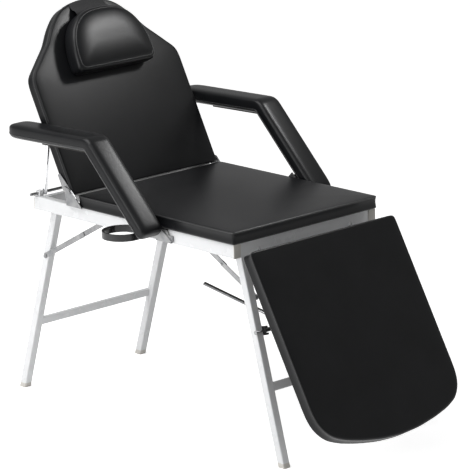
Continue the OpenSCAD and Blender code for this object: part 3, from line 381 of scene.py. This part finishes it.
def raised_form(outline, steps):
    """Raises an outline ring by ring into a closed form. A step is (how far it draws in, its level)."""
    bm = bmesh.new()
    face = bm.faces.new([bm.verts.new((x, y, 0)) for x, y in outline])
    middle, half = middle_and_half(outline)
    about = Matrix.Translation((-middle[0], -middle[1], 0))
    draw, level = steps[0]
    bmesh.ops.translate(bm, vec=(0, 0, level), verts=face.verts)
    bmesh.ops.scale(bm, vec=[1 - draw / half[0], 1 - draw / half[1], 1], space=about, verts=face.verts)
    for new_draw, new_level in steps[1:]:
        face = drawn_out(bm, face)
        scale = [(half[k] - new_draw) / (half[k] - draw) for k in (0, 1)]
        bmesh.ops.scale(bm, vec=[*scale, 1], space=about, verts=face.verts)
        bmesh.ops.translate(bm, vec=(0, 0, new_level - level), verts=face.verts)
        draw, level = new_draw, new_level
    bmesh.ops.poke(bm, faces=[face])
    return bm


def welt(name, points, radius, place, body, closed=True):
    """A round piping cord sewn along a line of points."""
    curve = bpy.data.curves.new(name, "CURVE")
    curve.dimensions = "3D"
    curve.bevel_depth = radius
    curve.bevel_resolution = 3
    curve.use_fill_caps = not closed
    line = curve.splines.new("NURBS")
    line.points.add(len(points) - 1)
    line.order_u = 4
    line.resolution_u = 4
    line.use_endpoint_u = not closed
    for point, spot in zip(line.points, points):
        point.co = (*(place @ Vector(spot)), 1)
    line.use_cyclic_u = closed
    holder = bpy.data.objects.new(name, curve)
    bpy.context.scene.collection.objects.link(holder)
    mesh = bpy.data.meshes.new_from_object(holder)
    bpy.data.objects.remove(holder)
    piece = smooth_object(name, mesh)
    paint(piece, "piping")
    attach(piece, body)


# Cushions: the cover's side band goes down round the board's edge, and a crowned face lies on the foam.
# Steps are (how far in, level), from inside the lower edge round the side to the middle of the face.
FOAM = PAD_THICK - BOARD_THICK
CUSHION_STEPS = [(0.0066, 0.0003), (0.0066, -0.0079), (0.0034, -0.0086), (0.0008, -0.0080), (0.0001, -0.0055),
                 (0.0010, 0.001), (0.0018, 0.009), (0.0016, 0.016), (0.0004, 0.0222), (0.0008, 0.0256),
                 (0.0032, 0.0276), (0.0075, FOAM), (0.016, FOAM + 0.0008), (0.035, FOAM + 0.0016),
                 (0.07, FOAM + 0.0022), (0.12, FOAM + 0.0027), (0.18, FOAM + 0.003), (0.235, FOAM + 0.003)]
PIPING_DRAW = 0.0014
TOP_PIPING_LEVEL, TOP_PIPING_RADIUS = 0.0245, 0.0021
LOW_PIPING_LEVEL, LOW_PIPING_RADIUS = -0.0058, 0.0018
BACK_PIPING_LEVEL = 0.0185


def boxed_cushion(name, outline, place, body, node, top_level=TOP_PIPING_LEVEL):
    """A boxed foam cushion with piping sewn round both edges of its side band."""
    bm = raised_form(outline, CUSHION_STEPS)
    bmesh.ops.transform(bm, matrix=place, verts=bm.verts)
    piece = mesh_object(name, bm, levels=2)
    paint(piece, "black_leatherette")
    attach(piece, body)
    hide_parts(node)
    edges = (("top", top_level, TOP_PIPING_RADIUS), ("low", LOW_PIPING_LEVEL, LOW_PIPING_RADIUS))
    for end, level, radius in edges:
        welt(f"{name}_{end}_piping", drawn_in(outline, PIPING_DRAW, level), radius, place, body)


boxed_cushion("seat_cushion", oblong_outline(SEAT_LENGTH), SEAT_PLACE, "frame", "seat_pad")
boxed_cushion("back_cushion", mirrored_outline(BACK_OUTLINE_SHARES, BACK_LENGTH),
              BACK_PLACE @ Matrix.Translation((0, -BACK_LAP, BACK_FACE - FOAM)), "backrest", "back_pad",
              top_level=BACK_PIPING_LEVEL)
boxed_cushion("leg_cushion", mirrored_outline(LEG_OUTLINE_SHARES, LEG_LENGTH),
              LEG_PLACE @ Matrix.Translation((0, LEG_START, LEG_FACE - FOAM)), "leg_rest", "leg_pad")


# Head pillow: a boxed D with a crowned face, and piping round the edge of that face
PILLOW_WIDTH, PILLOW_HEIGHT = 0.297, 0.187
PILLOW_START = 0.323
PILLOW_BASE = BACK_FACE + 0.0033
PILLOW_STRAIGHT_SHARE = 0.87
PILLOW_CORNER_SHARE = 0.11
PILLOW_SIDE_POWER, PILLOW_TOP_POWER = 0.75, 0.85
PILLOW_STEPS = [(0.020, 0.0), (0.010, 0.0005), (0.004, 0.003), (0.0012, 0.010), (0.0002, 0.022),
                (0.0002, 0.036), (0.0014, 0.045), (0.0045, 0.0505), (0.0085, 0.0528), (0.0105, 0.0524),
                (0.0125, 0.0538), (0.018, 0.0562), (0.028, 0.0583), (0.042, 0.0602), (0.058, 0.0614),
                (0.075, 0.0620)]
PILLOW_PIPING_DRAW, PILLOW_PIPING_LEVEL, PILLOW_PIPING_RADIUS = 0.0105, 0.0530, 0.0013


def pillow_outline():
    """A D laid on its straight side: round lower corners, and sides that lean in to an arched top."""
    straight, corner = PILLOW_STRAIGHT_SHARE, PILLOW_CORNER_SHARE
    straight_steps, corner_degrees, top_degrees = 8, 15, 5
    shares = [(straight * k / straight_steps, 0) for k in range(straight_steps)]
    for degrees in range(0, 90, corner_degrees):
        angle = math.radians(degrees)
        shares.append((straight + (1 - straight) * math.sin(angle), corner * (1 - math.cos(angle))))
    for degrees in range(0, 90, top_degrees):
        angle = math.radians(degrees)
        shares.append((math.cos(angle) ** PILLOW_SIDE_POWER,
                       corner + (1 - corner) * math.sin(angle) ** PILLOW_TOP_POWER))
    shares.append((0, 1))
    right = [(x * PILLOW_WIDTH / 2, y * PILLOW_HEIGHT) for x, y in shares]
    return right + [(-x, y) for x, y in reversed(right[1:-1])]


def head_pillow():
    """The pillow's cover and the piping round its face."""
    outline = pillow_outline()
    place = BACK_PLACE @ Matrix.Translation((0, PILLOW_START, PILLOW_BASE))
    bm = raised_form(outline, PILLOW_STEPS)
    bmesh.ops.transform(bm, matrix=place, verts=bm.verts)
    piece = mesh_object("neck_pillow", bm, levels=2)
    paint(piece, "black_leatherette")
    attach(piece, "pillow")
    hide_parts("head_pillow")
    line = drawn_in(outline, PILLOW_PIPING_DRAW, PILLOW_PIPING_LEVEL)
    welt("neck_pillow_piping", line, PILLOW_PIPING_RADIUS, place, "pillow")


head_pillow()

# Strap: elastic webbing from the pillow's top, over the back's arched end and down behind it.
# Points of its path are (along the back, out from the back's hinge).
STRAP_WIDTH, STRAP_THICK = 0.130, 0.0016
STRAP_COLUMNS = 12
STRAP_EDGE_DROP = 0.0075
BACK_TOP_SHARE = 0.9895
PILLOW_TOP = PILLOW_START + PILLOW_HEIGHT
STRAP_BOW_START = PILLOW_TOP + 0.01
BACK_TOP = BACK_LENGTH * BACK_TOP_SHARE - BACK_LAP
BACK_REAR = BACK_FACE - PAD_THICK
STRAP_PATH = [(PILLOW_TOP - 0.012, PILLOW_BASE + 0.020), (PILLOW_TOP + 0.004, PILLOW_BASE + 0.014),
              (PILLOW_TOP + 0.018, PILLOW_BASE + 0.004), (BACK_TOP - 0.012, BACK_FACE + 0.0022),
              (BACK_TOP - 0.002, BACK_FACE + 0.0002), (BACK_TOP + 0.0012, BACK_FACE - 0.006),
              (BACK_TOP + 0.0012, BACK_REAR + 0.004), (BACK_TOP - 0.001, BACK_REAR - 0.0012),
              (BACK_TOP - 0.012, BACK_REAR - 0.0022), (BACK_TOP - 0.045, BACK_REAR - 0.0022),
              (BACK_TOP - 0.078, BACK_REAR - 0.0022)]


def pillow_strap():
    """The strap, drawn out along its path and bowed to the back's arch."""
    bm = bmesh.new()
    start = [bm.verts.new((STRAP_WIDTH * (k / STRAP_COLUMNS - 0.5), *STRAP_PATH[0]))
             for k in range(STRAP_COLUMNS + 1)]
    edges = [bm.edges.new(pair) for pair in zip(start, start[1:])]
    for last, spot in zip(STRAP_PATH, STRAP_PATH[1:]):
        made = bmesh.ops.extrude_edge_only(bm, edges=edges)
        edges = [g for g in made["geom"] if isinstance(g, bmesh.types.BMEdge)]
        new = [g for g in made["geom"] if isinstance(g, bmesh.types.BMVert)]
        bmesh.ops.translate(bm, vec=(0, spot[0] - last[0], spot[1] - last[1]), verts=new)
    for vert in bm.verts:
        if vert.co.y > STRAP_BOW_START:
            vert.co.y -= STRAP_EDGE_DROP * (vert.co.x / (STRAP_WIDTH / 2)) ** 2
    bmesh.ops.transform(bm, matrix=BACK_PLACE, verts=bm.verts)
    piece = mesh_object("pillow_elastic", bm)
    wall = piece.modifiers.new("Thickness", "SOLIDIFY")
    wall.thickness = STRAP_THICK
    wall.offset = 0
    paint(piece, "strap_webbing")
    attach(piece, "pillow")
    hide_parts("pillow_strap")


pillow_strap()

# Armrests: a padded bar swept along its bent path, a little fuller below, with a sewn line on each flank
ARM_TURN = math.radians(ARM_DROP + ARM_DROOP)
ARM_TANGENT = ARM_BEND * math.tan(ARM_TURN / 2)
ARM_ARC = ARM_BEND * ARM_TURN
ARM_BEND_START = ARM_LEVEL - ARM_TANGENT
ARM_BEND_END = ARM_BEND_START + ARM_ARC
ARM_RUN = ARM_LEVEL + ARM_SLOPE - 2 * ARM_TANGENT + ARM_ARC
ARM_SIDE = ARM_IN + ARM_WIDTH / 2
ARM_STRAIGHT_STEPS, ARM_BEND_STEPS = 6, 8
ARM_SQUARE_POWER = 0.5
ARM_BELLY = 1.14
SEAM_REACH_SHARE, SEAM_LEVEL_SHARE = 0.992, 0.24
SEAM_RADIUS = 0.0013

# Sections as (distance in from the end, share of the width, share of the thickness)
ARM_TIP = [(0.0, 0.10, 0.08), (0.0006, 0.40, 0.38), (0.004, 0.64, 0.64), (0.012, 0.84, 0.86),
           (0.026, 0.965, 0.975), (0.050, 1, 1)]
ARM_TOE = [(0.026, 1, 1), (0.0156, 0.985, 0.97), (0.0065, 0.95, 0.88), (0.001, 0.87, 0.66),
           (-0.001, 0.72, 0.36)]


def eased(value, power):
    """A power of the value that keeps its sign."""
    return math.copysign(abs(value) ** power, value)


def outward(heading):
    """The direction out of the armrest's top where its path has this heading."""
    return Vector((0, math.sin(heading), -math.cos(heading)))


def arm_station(d):
    """Matrix of the armrest's section at distance d from its rear tip: X across, Z out of its top."""
    droop, drop = math.radians(ARM_DROOP), math.radians(ARM_DROP)
    back = Vector((0, math.cos(droop), -math.sin(droop)))
    down = Vector((0, -math.cos(drop), -math.sin(drop)))
    apex = Vector((0, *ARM_APEX))
    turned = min(1, max(0, (d - ARM_BEND_START) / ARM_ARC)) * ARM_TURN
    heading = math.pi - droop + turned
    up = outward(heading)
    if d < ARM_BEND_START:
        spot = apex + back * (ARM_LEVEL - d)
    elif d > ARM_BEND_END:
        spot = apex + down * (ARM_TANGENT + d - ARM_BEND_END)
    else:
        hub = apex + back * ARM_TANGENT - ARM_BEND * outward(math.pi - droop)
        spot = hub + ARM_BEND * up
    along = Vector((0, math.cos(heading), math.sin(heading)))
    turn = Matrix((Vector((1, 0, 0)), along, up)).transposed().to_4x4()
    return Matrix.Translation(spot) @ turn


def arm_stations():
    """All the sections of an armrest, from its rear tip to its lower end."""
    tip_end, toe_start = ARM_TIP[-1][0], ARM_RUN - ARM_TOE[0][0]
    between = [k / ARM_STRAIGHT_STEPS for k in range(1, ARM_STRAIGHT_STEPS)]
    stations = list(ARM_TIP)
    stations += [(tip_end + (ARM_BEND_START - tip_end) * share, 1, 1) for share in between]
    stations += [(ARM_BEND_START + ARM_ARC * k / ARM_BEND_STEPS, 1, 1) for k in range(ARM_BEND_STEPS + 1)]
    stations += [(ARM_BEND_END + (toe_start - ARM_BEND_END) * share, 1, 1) for share in between]
    stations += [(ARM_RUN - d, wide, thick) for d, wide, thick in ARM_TOE]
    return stations


def armrest_cover(hand, side):
    """The cover of the armrest on one side (-1 or 1) of the middle, and the sewn lines on its flanks."""
    name = f"armrest_{hand}"
    place = Matrix.Translation((MIDDLE_X + side * ARM_SIDE, RAIL_FRONT, 0))
    bm = bmesh.new()
    ring = bmesh.ops.create_circle(bm, segments=32, radius=1, cap_ends=True)["verts"]
    bmesh.ops.rotate(bm, cent=(0, 0, 0), matrix=Matrix.Rotation(math.pi / 2, 3, "X"), verts=ring)
    for vert in ring:
        belly = ARM_BELLY if vert.co.z < 0 else 1
        vert.co = (eased(vert.co.x, ARM_SQUARE_POWER), 0, eased(vert.co.z, ARM_SQUARE_POWER) * belly)
    face = list(bm.faces)[0]
    stations = arm_stations()
    last = Matrix.Identity(4)
    for k, (d, wide, thick) in enumerate(stations):
        if k:
            face = drawn_out(bm, face)
        size = Matrix.Diagonal((wide * ARM_WIDTH / 2, 1, thick * ARM_THICK / 2, 1))
        now = place @ arm_station(d) @ size
        bmesh.ops.transform(bm, matrix=now @ last.inverted(), verts=face.verts)
        last = now
    piece = mesh_object(name + "_cover", bm, levels=2)
    paint(piece, "black_leatherette")
    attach(piece, name)
    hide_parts(f"armrest_pad_{hand}")
    for flank in (-1, 1):
        line = []
        for d, wide, thick in stations[2:-2]:
            reach = flank * wide * ARM_WIDTH / 2 * SEAM_REACH_SHARE
            line.append(arm_station(d) @ Vector((reach, 0, -thick * ARM_THICK * SEAM_LEVEL_SHARE)))
        flank_name = "outer" if flank == side else "inner"
        welt(f"{name}_seam_{flank_name}", line, SEAM_RADIUS, place, name, closed=False)


armrest_cover("left", -1)
armrest_cover("right", 1)


# Room: a pale floor, a white world and soft lamps
FLOOR_HALF = 45
FLOOR_LIFT = 0.72
WORLD_SEEN, WORLD_MIRRORED, WORLD_AS_LIGHT = 1.0, 0.42, 0.30


def either_ray(tree, light, first, second):
    """1 for a light path of either kind."""
    seen = add(tree, "ShaderNodeMath", operation="MAXIMUM")
    tree.links.new(light.outputs[first], seen.inputs[0])
    tree.links.new(light.outputs[second], seen.inputs[1])
    return seen.outputs["Value"]


def pale_floor():
    """A matt floor that is lifted to white for the camera and for reflections, and keeps a shadow."""
    bm = bmesh.new()
    bmesh.ops.create_grid(bm, x_segments=1, y_segments=1, size=FLOOR_HALF)
    floor = mesh_object("floor", bm)
    material = bpy.data.materials.new("Pale floor")
    material.use_nodes = True
    tree = material.node_tree
    shader = tree.nodes["Principled BSDF"]
    shader.inputs["Base Color"].default_value = (0.93, 0.93, 0.93, 1)
    shader.inputs["Roughness"].default_value = 0.9
    shader.inputs["Specular IOR Level"].default_value = 0.1
    shader.inputs["Emission Color"].default_value = (1, 1, 1, 1)
    light = add(tree, "ShaderNodeLightPath")
    lift = add(tree, "ShaderNodeMath", operation="MULTIPLY")
    lift.inputs[1].default_value = FLOOR_LIFT
    tree.links.new(either_ray(tree, light, "Is Camera Ray", "Is Glossy Ray"), lift.inputs[0])
    tree.links.new(lift.outputs["Value"], shader.inputs["Emission Strength"])
    floor.data.materials.append(material)


def white_world():
    """White where the camera sees it, also through something, and dimmer in reflections and as a light."""
    world = bpy.data.worlds.new("White studio")
    bpy.context.scene.world = world
    world.use_nodes = True
    tree = world.node_tree
    background = tree.nodes["Background"]
    background.inputs["Color"].default_value = (1, 1, 1, 1)
    light = add(tree, "ShaderNodeLightPath")
    dimmer = add(tree, "ShaderNodeMapRange", To_Min=WORLD_AS_LIGHT, To_Max=WORLD_MIRRORED)
    tree.links.new(light.outputs["Is Glossy Ray"], dimmer.inputs["Value"])
    strength = add(tree, "ShaderNodeMix", data_type="FLOAT", B=WORLD_SEEN)
    tree.links.new(either_ray(tree, light, "Is Camera Ray", "Is Transmission Ray"), strength.inputs["Factor"])
    tree.links.new(dimmer.outputs["Result"], strength.inputs["A"])
    tree.links.new(strength.outputs["Result"], background.inputs["Strength"])


def soft_lamp(name, spot, target, size, watts, mirrored_only=False):
    """An area lamp that the camera doesn't see. A mirrored-only one adds to the sheen alone."""
    lamp = bpy.data.lights.new(name, "AREA")
    lamp.shape = "RECTANGLE"
    lamp.size, lamp.size_y = size
    lamp.energy = watts
    holder = bpy.data.objects.new(name, lamp)
    bpy.context.scene.collection.objects.link(holder)
    holder.location = spot
    holder.rotation_euler = (Vector(target) - Vector(spot)).to_track_quat("-Z", "Y").to_euler()
    holder.visible_camera = False
    holder.visible_diffuse = not mirrored_only


pale_floor()
white_world()
soft_lamp("overhead softbox", spot=(-1.3, 0.6, 3.1), target=(0, 0.1, 0.6), size=(2.2, 2.2), watts=72)
soft_lamp("side softbox", spot=(-3.0, 0.6, 1.4), target=(0, -0.1, 0.4), size=(1.2, 1.6), watts=30)
soft_lamp("satin highlight", spot=(0.83, -0.23, 1.84), target=(0, 0.45, 1.05), size=(0.22, 0.22), watts=8.5,
          mirrored_only=True)


# Camera, where the photograph was taken from: its turns in degrees, then its place in its own directions
CAMERA_TURN, CAMERA_RISE, CAMERA_ROLL = -42.77, 14.57, -1.49
CAMERA_ACROSS, CAMERA_UP, CAMERA_AWAY = -0.2112, 0.5743, 9.074
CAMERA_LENS_MM, CAMERA_SENSOR_MM = 245.1, 36
CAMERA_REACH = 60


def photo_camera():
    """The camera that gives the photograph's view."""
    turn, rise, roll = (math.radians(angle) for angle in (CAMERA_TURN, CAMERA_RISE, CAMERA_ROLL))
    right = Vector((math.cos(turn), math.sin(turn), 0))
    back = Vector((math.sin(turn) * math.cos(rise), -math.cos(turn) * math.cos(rise), math.sin(rise)))
    up = back.cross(right)
    across = math.cos(roll) * right + math.sin(roll) * up
    high = -math.sin(roll) * right + math.cos(roll) * up
    middle = Vector((MIDDLE_X, RAIL_FRONT, 0))
    spot = CAMERA_ACROSS * across + CAMERA_UP * high + CAMERA_AWAY * back + middle
    camera = bpy.data.objects.new("photo camera", bpy.data.cameras.new("photo camera"))
    camera.matrix_world = Matrix.Translation(spot) @ Matrix((across, high, back)).transposed().to_4x4()
    camera.data.sensor_width = CAMERA_SENSOR_MM
    camera.data.lens = CAMERA_LENS_MM
    camera.data.clip_end = CAMERA_REACH
    bpy.context.scene.collection.objects.link(camera)
    bpy.context.scene.camera = camera


photo_camera()
bpy.context.scene.view_settings.view_transform = "Standard"
